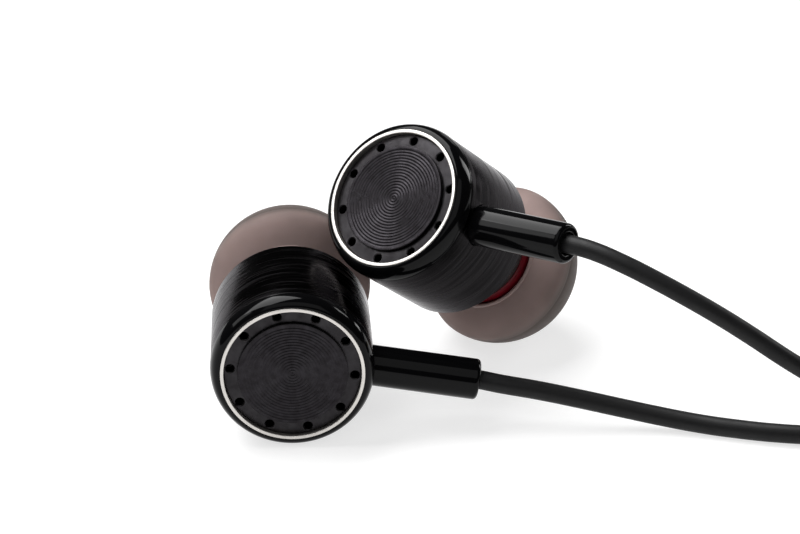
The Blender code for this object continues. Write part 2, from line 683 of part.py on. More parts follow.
def make_main(parts):
    """The main cable: from the Y split through its coil and on to the plug."""
    outer = MAIN_COIL_RADIUS + (MAIN_COLUMNS - 1) / 2 * MAIN_DIAMETER
    centre = (MAIN_COIL_X, CORD_LINE + outer)
    ring_edge = MAIN_COIL_RADIUS + MAIN_COLUMNS / 2 * MAIN_DIAMETER
    reach = math.sqrt(ring_edge ** 2 - (outer - MAIN_DIAMETER / 2) ** 2) + FACE_GAP
    top = COIL_LIFT + MAIN_ROWS * MAIN_DIAMETER
    start = (SPLIT_START + SPLIT_LENGTH + FACE_GAP, CORD_LINE, PAIR_HEIGHT)
    entry = (MAIN_COIL_X - reach, CORD_LINE, COIL_LIFT + MAIN_DIAMETER / 2)
    tube("main_cable_head", [start, entry], MAIN_DIAMETER, parts)
    coil("main_coil", centre, MAIN_COIL_RADIUS, MAIN_DIAMETER, (MAIN_COLUMNS, MAIN_ROWS), COIL_LIFT, parts)
    leave = (MAIN_COIL_X - reach, centre[1] + outer, top - MAIN_DIAMETER / 2)
    relief_end = PLUG_SHOULDER_X + GRIP_LENGTH + RELIEF_LENGTH + FACE_GAP
    tube("main_cable_tail", [leave] + MAIN_TAIL + [(relief_end, PLUG_Y, GRIP_RADIUS)], MAIN_DIAMETER, parts)
    tie("main_coil_tie", centre, MAIN_COIL_RADIUS, MAIN_COLUMNS * MAIN_DIAMETER, COIL_LIFT, top, parts)


def plug_outlines():
    """Outline and material of each piece of the plug. Height 0 is the shoulder, and +Z is the pin."""
    grip_end = -GRIP_LENGTH
    return {
        "plug_grip": ([
            (1.82, 0), (2.9, 0), (GRIP_RADIUS - 0.05, -0.35), (GRIP_RADIUS, -1.0),
            (GRIP_RADIUS, grip_end + 1.6), (GRIP_RADIUS - 0.3, grip_end + 0.5), (2.5, grip_end),
            (1.62, grip_end), (1.62, grip_end + 7.0), (1.82, grip_end + 7.0),
        ], "black_plastic"),
        "plug_relief": ([
            (RELIEF_BORE, grip_end + 6.5), (1.55, grip_end + 6.5), (1.55, grip_end - 0.05),
            (RELIEF_ROOT_RADIUS, grip_end - 0.05), (RELIEF_END_RADIUS, grip_end - RELIEF_LENGTH + 0.2),
            (RELIEF_END_RADIUS - 0.15, grip_end - RELIEF_LENGTH), (RELIEF_BORE, grip_end - RELIEF_LENGTH),
        ], "cable_rubber"),
        "plug_sleeve": ([
            (1.35, -3.0), (PIN_RADIUS, -3.0), (PIN_RADIUS, SLEEVE_END), (1.35, SLEEVE_END),
        ], "gold"),
        "plug_rear_insulator": ([
            (1.05, -3.5), (1.3, -3.5), (1.3, SLEEVE_END + 0.05), (COLLAR_RADIUS, SLEEVE_END + 0.05),
            (COLLAR_RADIUS, RING_START - 0.05), (1.05, RING_START - 0.05),
        ], "insulator"),
        "plug_ring": ([
            (0.75, -4.0), (1.0, -4.0), (1.0, RING_START), (PIN_RADIUS, RING_START),
            (PIN_RADIUS, RING_END), (0.75, RING_END),
        ], "gold"),
        "plug_front_insulator": ([
            (0.45, -4.5), (0.7, -4.5), (0.7, RING_END + 0.05), (COLLAR_RADIUS, RING_END + 0.05),
            (COLLAR_RADIUS, RING_END + 0.6), (0.45, RING_END + 0.6),
        ], "insulator"),
        "plug_tip": ([
            (0, -5.0), (0.4, -5.0), (0.4, RING_END + 0.65), (1.7, RING_END + 0.65), (1.3, 12.15),
            (1.62, 12.75), (1.5, 13.2), (0.9, 13.8), (0.45, PIN_LENGTH), (0, PIN_LENGTH),
        ], "gold"),
    }


def make_plug(parts):
    frame = bpy.data.objects.new("plug_frame", None)
    parts.objects.link(frame)
    frame.location = (PLUG_SHOULDER_X * MM, PLUG_Y * MM, GRIP_RADIUS * MM)
    frame.rotation_euler = (0, -math.pi / 2, 0)
    for name, (outline, look) in plug_outlines().items():
        turned(name, outline, look, parts, frame, SMALL_SEGMENTS)


def main():
    clear_scene()
    parts = new_collection(OBJECT_NAME)
    cutters = new_collection("cutters")
    stem_ends = {}
    for side, spec in EARPHONES.items():
        frame = make_earphone(side, spec, parts, cutters)
        end = Vector(((STEM_END + FACE_GAP) * MM, 0, STEM_PLACE * MM))
        stem_ends[side] = tuple(frame.matrix_world @ end / MM)
    make_branches(stem_ends, parts)
    make_slider(parts, cutters)
    make_split(parts)
    make_main(parts)
    make_plug(parts)


main()
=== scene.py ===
import math

import bmesh
import bpy
from mathutils import Matrix, Vector


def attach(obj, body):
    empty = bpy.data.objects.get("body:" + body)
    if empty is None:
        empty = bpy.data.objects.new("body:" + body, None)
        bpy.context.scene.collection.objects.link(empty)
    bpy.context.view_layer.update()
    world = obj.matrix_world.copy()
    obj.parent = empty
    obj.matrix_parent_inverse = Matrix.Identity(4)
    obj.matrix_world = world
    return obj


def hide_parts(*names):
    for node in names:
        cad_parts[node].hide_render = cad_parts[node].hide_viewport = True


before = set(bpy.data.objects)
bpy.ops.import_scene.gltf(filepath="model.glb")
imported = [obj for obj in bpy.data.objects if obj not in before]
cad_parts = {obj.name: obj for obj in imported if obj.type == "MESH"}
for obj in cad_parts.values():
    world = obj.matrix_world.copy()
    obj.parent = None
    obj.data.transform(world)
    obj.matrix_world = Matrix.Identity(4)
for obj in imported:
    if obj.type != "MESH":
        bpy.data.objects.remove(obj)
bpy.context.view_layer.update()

# Looks of the wired earphones. Sizes are in millimetres and MM turns them into metres.
# An earphone's own frame has its origin in the plane of its silver trim ring, +Z towards the
# ear tip and +X along the cable stem.
MM = 0.001

# Steps round a turned piece
FINE = 160
MEDIUM = 96
SMALL = 64
COARSE = 32

# The wave texture's scale for one band in each unit of length
WAVE_SCALE = 2 * math.pi / 20

# Painted light and shade on the silicone: it is paler in its thin skirt, standing in for light that
# shines through it, and darker in its dome, evening out how the lamps light the tip
SKIRT_PAINTED_LIGHT_COLOUR = (0.36, 0.265, 0.247)
DOME_PAINTED_SHADE_COLOUR = (0.095, 0.078, 0.072)

# Camera: it looks along +Y and down, from far away
CAMERA_TARGET = (0.42, -8.87, 12.99)
CAMERA_ELEVATION = 26.0
CAMERA_DISTANCE = 700.0
CAMERA_WIDTH = 58.04
SENSOR_WIDTH = 36.0

# Light from all round, and the floor's own glow
WORLD_LIGHT = 0.04
FLOOR_GLOW = 0.7

EARPHONES = {
    "left": {
        "face": (-7.37, -12.28, 6.0), "heading": -1.4, "dip": 0.0, "stem_turn": -9.4,
        "vent_turn": -5.5, "tip_out": 0.05,
    },
    "right": {
        "face": (-0.09, -2.37, 15.45), "heading": 41.4, "dip": 39.2, "stem_turn": 7.4,
        "vent_turn": -20.0, "tip_out": 0.5,
    },
}

# Shell
SHELL_RADIUS = 6.0
RIM_TOP = 0.02
RIM_WIDTH = 0.72
RIM_DEPTH = 1.25
RIM_FULLNESS = 2.15
BEZEL_END = 1.22
TRIM_INNER = 5.03
TRIM_OUTER = 5.28
TRIM_SEAT = 0.70
TRIM_TOP = -0.04
TRIM_GAP = 0.03
PLATE_TOP = 0.38
PLATE_FLANGE = 0.85
PLATE_BOTTOM = 1.18
PLATE_INNER = 3.2
PLATE_RADIUS = 5.25
VENT_COUNT = 10
VENT_RADIUS = 0.31
VENT_CIRCLE = 4.55
VENT_SINK = 0.27
VENT_SINK_DEPTH = 0.07
DISC_RADIUS = 4.03
DISC_TOP = 0.08
DISC_BOTTOM = 0.33
GROOVE_PITCH = 0.225
GROOVE_DEPTH = 0.035
BARREL_START = 1.28
BARREL_END = 9.40
BARREL_REAR_RADIUS = 5.97
BARREL_FRONT_RADIUS = 5.79
BARREL_BORE = 5.12
BARREL_LIP = 5.45
BARREL_LIP_END = 9.75
STEM_PLACE = 3.3
STEM_RADIUS = 1.5
STEM_BORE = 0.85
STEM_ROOT = 5.25
STEM_END = 13.8

# Nozzle and ear tip
HOUSING_RADIUS = 5.05
HOUSING_BORE = 4.5
HOUSING_REAR = 7.75
HOUSING_WALL = 9.0
HOUSING_FRONT = 9.92
SHOULDER_RADIUS = 3.58
SHOULDER_END = 12.75
NOZZLE_RADIUS = 2.3
NOZZLE_LIP_RADIUS = 2.5
NOZZLE_BORE = 1.75
NOZZLE_END = 16.2
MESH_SEAT_RADIUS = 1.95
MESH_SEAT = 15.9
MESH_LEVEL = 16.03
MESH_PITCH = 0.3
MESH_WIRE = 0.055
FRONT_RING_RADIUS = 3.6
FRONT_RING_END = 13.88
TIP_RIM = 13.15
TIP_RIM_RADIUS = 4.0
TIP_RIM_WALL = 0.3
TIP_RADIUS = 5.95
TIP_WIDEST = 14.8
TIP_DOME = 5.6
TIP_WALL = 0.6
TIP_BORE = 1.65
TIP_SOCKET = 2.55
TIP_SOCKET_END = 16.8
TIP_CORE_RADIUS = 3.2
TIP_CORE_REAR = 14.0
TIP_SEAM_ANGLE = 6.0
TIP_SEAM_DEPTH = 0.016
TIP_FRONT = 20.0

# Cables: the same routes as the CAD model's
BRANCH_DIAMETER = 1.4
MAIN_DIAMETER = 2.0
CORD_LINE = -12.08
COIL_LIFT = 0.5
LEFT_ROUTE = [
    (7.68, -8.78, 3.47), (10.58, -8.76, 2.90), (13.48, -8.78, 2.25), (16.38, -8.93, 1.62),
    (19.29, -9.28, 1.10), (22.19, -9.88, 0.78), (25.09, -10.68, 0.72), (27.99, -11.34, 0.72),
    (31.13, -11.78, 0.78), (34.13, -12.03, 0.98), (38.0, -12.08, 1.2),
]
RIGHT_ROUTE = [
    (14.35, -9.79, 14.75), (16.67, -10.89, 14.17), (19.00, -11.58, 13.19), (21.32, -11.95, 11.97),
    (23.64, -12.11, 10.56), (25.96, -12.15, 8.97), (28.28, -12.15, 7.28), (29.50, -12.15, 6.45),
    (31.10, -12.13, 5.45), (32.80, -12.10, 4.78), (35.20, -12.08, 4.36), (38.6, -12.08, 4.3),
]
LEFT_TAIL = [(48.0, -12.08, 2.6), (51.5, -12.0, 2.45), (54.5, -11.5, 2.05), (57.2, -11.25, 1.85)]
RIGHT_TAIL = [
    (48.0, -12.08, 5.7), (50.8, -12.15, 5.25), (53.0, -12.5, 3.9), (55.2, -12.85, 2.45),
    (57.4, -12.93, 1.88),
]
MAIN_TAIL = [(88.6, 14.92, 7.5), (83.6, 14.75, 7.0), (80.8, 14.0, 5.4), (78.0, 13.1, 3.9)]
BRANCH_COIL = {"x": 43.13, "radius": 7.0, "columns": 4, "rows": 2, "diameter": BRANCH_DIAMETER}
MAIN_COIL = {"x": 93.63, "radius": 11.5, "columns": 3, "rows": 4, "diameter": MAIN_DIAMETER}
COIL_GAP = 0.3
COIL_POINTS = 18
CROSSING = 60.0
TIE_THICKNESS = 0.4
TIE_WIDTH = 3.0
TIE_CORNER = 0.7
PAIR_SPACING = 1.7
PAIR_HEIGHT = 1.8
SPLIT_START = 71.4
SPLIT_LENGTH = 12.0
SLIDER_START = 65.6
SLIDER_LENGTH = 5.5

# Plug, along -X from the end of its strain relief
PLUG_PLACE = (51.2, 12.6, 3.25)
GRIP_RADIUS = 3.25
GRIP_LENGTH = 15.0
RELIEF_LENGTH = 9.0
PIN_RADIUS = 1.75
PIN_SLEEVE_END = 8.35
PIN_RING_START = 9.0
PIN_RING_END = 11.0
PIN_TIP_START = 11.65
PIN_LENGTH = 14.0


# Geometry helpers

def arc(centre_r, centre_z, radius, start, end, count):
    """Points of a round stretch of a profile. Angles are in degrees, from outwards towards +Z."""
    step = (end - start) / (count - 1)
    angles = [math.radians(start + step * i) for i in range(count)]
    return [(centre_r + radius * math.cos(a), centre_z + radius * math.sin(a)) for a in angles]


def oval(half_width, centre_z, half_length, start, end, count):
    """Points of an elliptical stretch of a profile that is centred on the axis."""
    step = (end - start) / (count - 1)
    angles = [math.radians(start + step * i) for i in range(count)]
    return [(half_width * math.cos(a), centre_z + half_length * math.sin(a)) for a in angles]


def rounded(corners, steps=4):
    """A closed outline whose corners may each name a fillet radius, as (radius, height, fillet)."""
    points = []
    for i, corner in enumerate(corners):
        here = Vector(corner[:2])
        if len(corner) < 3:
            points.append(tuple(here))
            continue
        before = (Vector(corners[i - 1][:2]) - here).normalized()
        after = (Vector(corners[(i + 1) % len(corners)][:2]) - here).normalized()
        half = before.angle(after) / 2
        centre = here + (before + after).normalized() * corner[2] / math.sin(half)
        reach = corner[2] / math.tan(half)
        first, last = here + before * reach - centre, here + after * reach - centre
        turn = first.angle_signed(last)
        for k in range(steps + 1):
            spoke = first.copy()
            spoke.rotate(Matrix.Rotation(-turn * k / steps, 2))
            points.append(tuple(centre + spoke))
    return points


def object_of(name, made, matrix, look, crease=35.0):
    """Turns a bmesh into a shaded piece with sharp creases."""
    bmesh.ops.recalc_face_normals(made, faces=made.faces)
    mesh = bpy.data.meshes.new(name)
    made.to_mesh(mesh)
    made.free()
    mesh.shade_smooth()
    mesh.set_sharp_from_angle(angle=math.radians(crease))
    mesh.materials.append(look)
    piece = bpy.data.objects.new(name, mesh)
    bpy.context.scene.collection.objects.link(piece)
    piece.matrix_world = matrix
    return piece


def lathe(name, outline, matrix, look, segments=FINE, crease=35.0):
    """A turned piece: its outline of (radius, height) swept round Z. An outline with two points on
    the axis stays open between them, and any other is closed into a ring."""
    made = bmesh.new()
    rings = []
    for radius, height in outline:
        if radius == 0:
            rings.append([made.verts.new((0, 0, height * MM))] * segments)
            continue
        ring = []
        for i in range(segments):
            a = 2 * math.pi * i / segments
            x, y = radius * math.cos(a), radius * math.sin(a)
            ring.append(made.verts.new((x * MM, y * MM, height * MM)))
        rings.append(ring)
    pairs = list(zip(rings, rings[1:]))
    if all(radius > 0 for radius, _ in outline):
        pairs.append((rings[-1], rings[0]))
    for lower, upper in pairs:
        for i in range(segments):
            j = (i + 1) % segments
            corners = list(dict.fromkeys([lower[i], lower[j], upper[j], upper[i]]))
            if len(corners) > 2:
                made.faces.new(corners)
    return object_of(name, made, matrix, look, crease)


def cut(piece, tool):
    """Cuts one piece with another, applies the cut and removes the tool."""
    boolean = piece.modifiers.new("Cut", "BOOLEAN")
    boolean.operation = "DIFFERENCE"
    boolean.solver = "EXACT"
    boolean.object = tool
    bpy.context.view_layer.update()
    graph = bpy.context.evaluated_depsgraph_get()
    result = bpy.data.meshes.new_from_object(piece.evaluated_get(graph))
    piece.modifiers.clear()
    piece.data = result
    result.shade_smooth()
    result.set_sharp_from_angle(angle=math.radians(35))
    bpy.data.objects.remove(tool)


def ride(piece, body, slot, *nodes):
    """Puts a piece on its body and hides the CAD nodes that it stands for. The slot is not used."""
    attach(piece, body)
    if nodes:
        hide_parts(*nodes)
    return piece


# Materials

class Look:
    """A procedural material on the Principled shader. Its textures are measured in millimetres."""

    def __init__(self, name, colour, roughness, metallic=0.0, **values):
        self.material = bpy.data.materials.new(name)
        self.material.use_nodes = True
        self.nodes = self.material.node_tree.nodes
        self.links = self.material.node_tree.links
        self.shader = self.nodes["Principled BSDF"]
        self.put("Base Color", (*colour, 1.0))
        self.put("Roughness", roughness)
        self.put("Metallic", metallic)
        for socket, value in values.items():
            self.put(socket.replace("_", " "), value)
        self.coordinates = self.nodes.new("ShaderNodeTexCoord").outputs["Object"]
        self.normal = None

    def put(self, socket, value):
        self.shader.inputs[socket].default_value = value

    def mapped(self, stretch):
        """Object coordinates in millimetres, divided by a stretch along each axis."""
        mapping = self.nodes.new("ShaderNodeMapping")
        mapping.inputs["Scale"].default_value = [1 / (MM * s) for s in stretch]
        self.links.new(self.coordinates, mapping.inputs["Vector"])
        return mapping.outputs[0]

    def noise(self, size, stretch=(1, 1, 1), detail=3.0):
        texture = self.nodes.new("ShaderNodeTexNoise")
        texture.inputs["Scale"].default_value = 1 / size
        texture.inputs["Detail"].default_value = detail
        self.links.new(self.mapped(stretch), texture.inputs["Vector"])
        return texture.outputs[0]

    def height(self, noise_size, unevenness):
        """The distance along the piece's own Z in millimetres, with a soft unevenness."""
        axes = self.nodes.new("ShaderNodeSeparateXYZ")
        self.links.new(self.mapped((1, 1, 1)), axes.inputs[0])
        total = self.nodes.new("ShaderNodeMath")
        total.operation = "MULTIPLY_ADD"
        self.links.new(self.noise(noise_size), total.inputs[0])
        total.inputs[1].default_value = unevenness
        self.links.new(axes.outputs["Z"], total.inputs[2])
        return total.outputs[0]

    def waves(self, pitch, kind, direction):
        """Parallel bands, or rings about an axis, at a pitch."""
        texture = self.nodes.new("ShaderNodeTexWave")
        texture.wave_type = kind
        if kind == "RINGS":
            texture.rings_direction = direction
        else:
            texture.bands_direction = direction
        texture.inputs["Scale"].default_value = WAVE_SCALE / pitch
        self.links.new(self.mapped((1, 1, 1)), texture.inputs["Vector"])
        return texture.outputs["Fac"]

    def spread(self, source, low, high, start=0.3, end=0.7):
        """The source's range from start to end, turned into low to high."""
        ranged = self.nodes.new("ShaderNodeMapRange")
        limits = {"From Min": start, "From Max": end, "To Min": low, "To Max": high}
        for socket, value in limits.items():
            ranged.inputs[socket].default_value = value
        self.links.new(source, ranged.inputs["Value"])
        return ranged.outputs[0]

    def roughness(self, source, low, high, start=0.3, end=0.7):
        self.links.new(self.spread(source, low, high, start, end), self.shader.inputs["Roughness"])
        return self

    def colour(self, source, dark, light, start=0.3, end=0.7):
        mix = self.nodes.new("ShaderNodeMix")
        mix.data_type = "RGBA"
        mix.inputs[6].default_value = (*dark, 1.0)
        mix.inputs[7].default_value = (*light, 1.0)
        self.links.new(self.spread(source, 0.0, 1.0, start, end), mix.inputs[0])
        self.links.new(mix.outputs[2], self.shader.inputs["Base Color"])
        return self

    def bump(self, source, depth):
        """Adds relief of a depth in millimetres to what is there already."""
        bump = self.nodes.new("ShaderNodeBump")
        bump.inputs["Strength"].default_value = 1.0
        bump.inputs["Distance"].default_value = depth * MM
        self.links.new(source, bump.inputs["Height"])
        if self.normal is not None:
            self.links.new(self.normal, bump.inputs["Normal"])
        self.normal = bump.outputs[0]
        self.links.new(self.normal, self.shader.inputs["Normal"])
        return self

    def tangent(self, axis="Z"):
        """Turns the grain of an anisotropic finish round an axis."""
        node = self.nodes.new("ShaderNodeTangent")
        node.direction_type = "RADIAL"
        node.axis = axis
        self.links.new(node.outputs[0], self.shader.inputs["Tangent"])
        return self


def gloss_black():
    look = Look("gloss_black", (0.002, 0.002, 0.0023), 0.09, Specular_IOR_Level=0.12)
    look.roughness(look.noise(2.5, detail=5), 0.05, 0.11)
    return look.bump(look.noise(0.9, detail=2), 0.0012)


def silver():
    look = Look("silver", (0.64, 0.615, 0.585), 0.42, 1.0)
    grain = look.noise(0.12, (12, 12, 1), 4)
    return look.roughness(grain, 0.36, 0.5).bump(grain, 0.001)


def dark_plate():
    look = Look("dark_plate", (0.028, 0.026, 0.028), 0.34, 1.0)
    blast = look.noise(0.07, detail=4)
    look.colour(look.noise(0.8), (0.021, 0.0195, 0.021), (0.036, 0.0342, 0.0365))
    return look.roughness(blast, 0.28, 0.44).bump(blast, 0.004)


def spun_disc():
    look = Look("spun_disc", (0.022, 0.02, 0.022), 0.3, 1.0, Anisotropic=0.6)
    look.tangent()
    grain = look.noise(0.05, (20, 20, 1), 3)
    look.colour(look.noise(0.5, detail=5), (0.016, 0.0145, 0.016), (0.027, 0.025, 0.028))
    return look.roughness(grain, 0.24, 0.36).bump(look.waves(0.045, "RINGS", "Z"), 0.002)


def brushed_black():
    look = Look("brushed_black", (0.012, 0.0115, 0.012), 0.24, 1.0, Anisotropic=0.4)
    look.put("Specular Tint", (0.65, 0.64, 0.65, 1.0))
    look.tangent()
    broad = look.noise(0.3, (22, 22, 1), 5)
    hair = look.noise(0.06, (40, 40, 1), 4)
    look.colour(broad, (0.007, 0.0067, 0.007), (0.018, 0.0171, 0.0178), 0.42, 0.68)
    return look.roughness(broad, 0.1, 0.4, 0.4, 0.66).bump(broad, 0.004).bump(hair, 0.006)


def red_ring():
    look = Look("red_ring", (0.1, 0.0015, 0.006), 0.3, Specular_IOR_Level=0.2)
    grain = look.noise(0.08, (20, 20, 1), 3)
    look.colour(look.noise(0.7), (0.08, 0.001, 0.0045), (0.125, 0.002, 0.008))
    return look.roughness(grain, 0.24, 0.4).bump(grain, 0.002)


def black_plastic():
    look = Look("black_plastic", (0.008, 0.008, 0.008), 0.45, Specular_IOR_Level=0.28)
    spark = look.noise(0.12, detail=4)
    look.colour(look.noise(1.6), (0.0065, 0.0065, 0.0065), (0.0105, 0.0105, 0.011))
    return look.roughness(spark, 0.38, 0.55).bump(spark, 0.006)


def cable_rubber():
    look = Look("cable_rubber", (0.005, 0.005, 0.0054), 0.5, Specular_IOR_Level=0.24)
    skin = look.noise(0.09, detail=4)
    look.colour(look.noise(3.0, detail=5), (0.004, 0.004, 0.0044), (0.0065, 0.0065, 0.007))
    return look.roughness(look.noise(1.2), 0.44, 0.58).bump(skin, 0.008)


def silicone():
    look = Look(
        "silicone", (0.18, 0.14, 0.13), 0.6, Subsurface_Weight=0.3, Subsurface_Scale=0.001,
        Specular_IOR_Level=0.06,
    )
    look.put("Subsurface Radius", (1.0, 0.8, 0.7))
    # Painted light and shade: a paler skirt and a darker dome along the tip's length
    look.colour(look.height(3.0, 1.0), SKIRT_PAINTED_LIGHT_COLOUR, DOME_PAINTED_SHADE_COLOUR, 13.6, 15.9)
    haze = look.noise(0.25, detail=5)
    return look.roughness(haze, 0.48, 0.6).bump(haze, 0.003)


def steel_mesh():
    look = Look("steel_mesh", (0.42, 0.42, 0.42), 0.35, 1.0)
    return look.roughness(look.noise(0.05), 0.28, 0.45).bump(look.noise(0.03), 0.002)


def felt():
    look = Look("felt", (0.5, 0.49, 0.45), 0.95, Sheen_Weight=0.4)
    fibres = look.noise(0.05, (6, 1, 1), 6)
    return look.colour(fibres, (0.4, 0.39, 0.35), (0.6, 0.59, 0.55)).bump(fibres, 0.03)


def frame_plastic():
    look = Look("frame_plastic", (0.035, 0.035, 0.04), 0.5)
    return look.roughness(look.noise(0.3), 0.42, 0.6).bump(look.noise(0.08), 0.004)


def plated_steel():
    look = Look("plated_steel", (0.55, 0.55, 0.56), 0.26, 1.0)
    grain = look.noise(0.06, (1, 12, 1), 3)
    return look.roughness(grain, 0.2, 0.36).bump(grain, 0.001)


def magnet():
    look = Look("magnet", (0.5, 0.5, 0.52), 0.22, 1.0)
    return look.roughness(look.noise(0.4, detail=5), 0.16, 0.32).bump(look.noise(0.1), 0.001)


def copper_wire():
    look = Look("copper_wire", (0.6, 0.24, 0.09), 0.28, 1.0)
    winding = look.waves(0.06, "BANDS", "Z")
    return look.colour(winding, (0.36, 0.12, 0.04), (0.72, 0.32, 0.12)).bump(winding, 0.02)


def film():
    look = Look("film", (0.68, 0.63, 0.48), 0.2, Transmission_Weight=0.35, IOR=1.45)
    return look.roughness(look.noise(0.5), 0.14, 0.28).bump(look.noise(0.6), 0.004)


def circuit_board():
    look = Look("circuit_board", (0.01, 0.1, 0.035), 0.35)
    weave = look.noise(0.18, (3, 1, 1), 2)
    return look.colour(weave, (0.006, 0.07, 0.025), (0.014, 0.13, 0.05)).bump(weave, 0.004)


def tie_plastic():
    look = Look("tie_plastic", (0.016, 0.016, 0.017), 0.4, Specular_IOR_Level=0.4)
    return look.roughness(look.noise(0.4), 0.32, 0.5).bump(look.noise(0.15), 0.006)


def gold():
    look = Look("gold", (0.83, 0.6, 0.25), 0.16, 1.0)
    turning = look.noise(0.05, (20, 20, 1), 4)
    look.colour(look.noise(0.9, detail=4), (0.78, 0.55, 0.22), (0.87, 0.65, 0.29))
    return look.roughness(turning, 0.12, 0.26).bump(turning, 0.001)


def insulator():
    look = Look("insulator", (0.015, 0.015, 0.015), 0.35)
    return look.roughness(look.noise(0.3), 0.3, 0.45).bump(look.noise(0.1), 0.002)


LOOKS = {
    make.__name__: make().material for make in (
        gloss_black, silver, dark_plate, spun_disc, brushed_black, red_ring, black_plastic,
        cable_rubber, silicone, steel_mesh, felt, frame_plastic, plated_steel, magnet, copper_wire,
        film, circuit_board, tie_plastic, gold, insulator,
    )
}


# Camera, floor and lights

def make_camera():
    data = bpy.data.cameras.new("camera")
    data.sensor_width = SENSOR_WIDTH
    data.lens = SENSOR_WIDTH * CAMERA_DISTANCE / CAMERA_WIDTH
    camera = bpy.data.objects.new("camera", data)
    bpy.context.scene.collection.objects.link(camera)
    elevation = math.radians(CAMERA_ELEVATION)
    back = Vector((0, -math.cos(elevation), math.sin(elevation)))
    camera.location = (Vector(CAMERA_TARGET) + back * CAMERA_DISTANCE) * MM
    camera.rotation_euler = (-back).to_track_quat("-Z", "Y").to_euler()
    bpy.context.scene.camera = camera


def softbox(name, place, target, width, height, radiance):
    """A rectangular area light that faces a target. Sizes are in metres."""
    data = bpy.data.lights.new(name, "AREA")
    data.shape = "RECTANGLE"
    data.size, data.size_y = width, height
    data.energy = radiance * math.pi * width * height
    light = bpy.data.objects.new(name, data)
    bpy.context.scene.collection.objects.link(light)
    light.location = place
    light.rotation_euler = (Vector(place) - Vector(target)).to_track_quat("Z", "Y").to_euler()
    light.visible_camera = False


def make_stage():
    """A white floor that glows a little, as a lit acrylic table does, in dark surroundings."""
    made = bmesh.new()
    bmesh.ops.create_grid(made, x_segments=1, y_segments=1, size=6.0)
    look = Look("floor", (0.4, 0.4, 0.4), 0.6, Specular_IOR_Level=0.1)
    look.colour(look.noise(40.0), (0.39, 0.39, 0.39), (0.41, 0.41, 0.41))
    look.put("Emission Color", (1.0, 1.0, 1.0, 1.0))
    look.put("Emission Strength", FLOOR_GLOW)
    object_of("floor", made, Matrix.Identity(4), look.material)
    world = bpy.data.worlds.new("studio")
    world.use_nodes = True
    world.node_tree.nodes["Background"].inputs["Color"].default_value = (1, 1, 1, 1)
    world.node_tree.nodes["Background"].inputs["Strength"].default_value = WORLD_LIGHT
    bpy.context.scene.world = world
    middle = (0.0, 0.0, 0.01)
    softbox("top_box", (-0.5, 0.4, 1.2), middle, 1.3, 1.0, 7.0)
    softbox("left_box", (-1.0, 0.0, 0.68), middle, 0.6, 0.5, 3.2)
    softbox("right_box", (0.85, 0.6, 0.4), middle, 0.25, 0.6, 7.0)
    softbox("back_box", (0.38, 1.08, 0.3), middle, 0.26, 0.3, 0.9)
    softbox("front_box", (0.1, -0.9, 1.1), middle, 1.6, 1.2, 0.75)
    bpy.context.scene.view_settings.view_transform = "Standard"


# Cables

def outer_radius(spec):
    """The radius of a coil's outermost column of turns."""
    return spec["radius"] + (spec["columns"] - 1) / 2 * spec["diameter"]


def winding(spec, centre_y, low):
    """The centre line of a coil: in at its -Y side heading +X, from the outer column inwards and
    back out, row by row. Each move to the next place takes CROSSING degrees."""
    columns, rows, d = spec["columns"], spec["rows"], spec["diameter"]
    places = []
    for row in range(rows):
        order = range(columns) if row % 2 == 0 else reversed(range(columns))
        places += [(column, row) for column in order]
    moves = []
    angle = 360.0 - CROSSING
    for before, after in zip(places, places[1:]):
        upwards = after[1] > before[1]
        if moves:
            angle += 360.0 if upwards == moves[-1][1] else 360.0 - CROSSING
        moves.append((angle, upwards, before, after))
    total = 360.0 * (len(places) - 1) if rows == 2 else 360.0 * (len(places) - 1.5)
    outer = outer_radius(spec)
    count = round(total / 360 * COIL_POINTS)
    points = []
    for i in range(count + 1):
        turn = total * i / count
        column, row = places[0]
        for start, _, before, after in moves:
            share = min(1.0, max(0.0, (turn - start) / CROSSING))
            share = share * share * (3 - 2 * share)
            column += (after[0] - before[0]) * share
            row += (after[1] - before[1]) * share
        a = math.radians(turn - 90.0)
        r = outer - column * d
        points.append(
            (spec["x"] + r * math.cos(a), centre_y + r * math.sin(a), low + (row + 0.5) * d)
        )
    return points


def cable(name, points, diameter, *nodes):
    """A cable as one smooth curve through its route's points."""
    data = bpy.data.curves.new(name, "CURVE")
    data.dimensions = "3D"
    data.bevel_depth = diameter / 2 * MM
    data.bevel_resolution = 6
    data.resolution_u = 4
    data.use_fill_caps = True
    data.materials.append(LOOKS["cable_rubber"])
    spline = data.splines.new("BEZIER")
    spline.bezier_points.add(len(points) - 1)
    for target, point in zip(spline.bezier_points, points):
        target.co = Vector(point) * MM
        target.handle_left_type = target.handle_right_type = "AUTO"
    piece = bpy.data.objects.new(name, data)
    bpy.context.scene.collection.objects.link(piece)
    return ride(piece, "root", "cable_rubber", *nodes)


def earphone_matrix(spec):
    """The frame of an earphone, from its face, heading, dip and stem turn."""
    heading, dip, turn = (math.radians(spec[key]) for key in ("heading", "dip", "stem_turn"))
    level = Vector((math.sin(heading), math.cos(heading), 0))
    forward = math.cos(dip) * level - math.sin(dip) * Vector((0, 0, 1))
    side = Vector((math.cos(heading), -math.sin(heading), 0))
    up = side.cross(forward)
    stem = math.cos(turn) * side + math.sin(turn) * up
    across = forward.cross(stem)
    rotation = Matrix((stem, across, forward)).transposed().to_4x4()
    return Matrix.Translation(Vector(spec["face"]) * MM) @ rotation


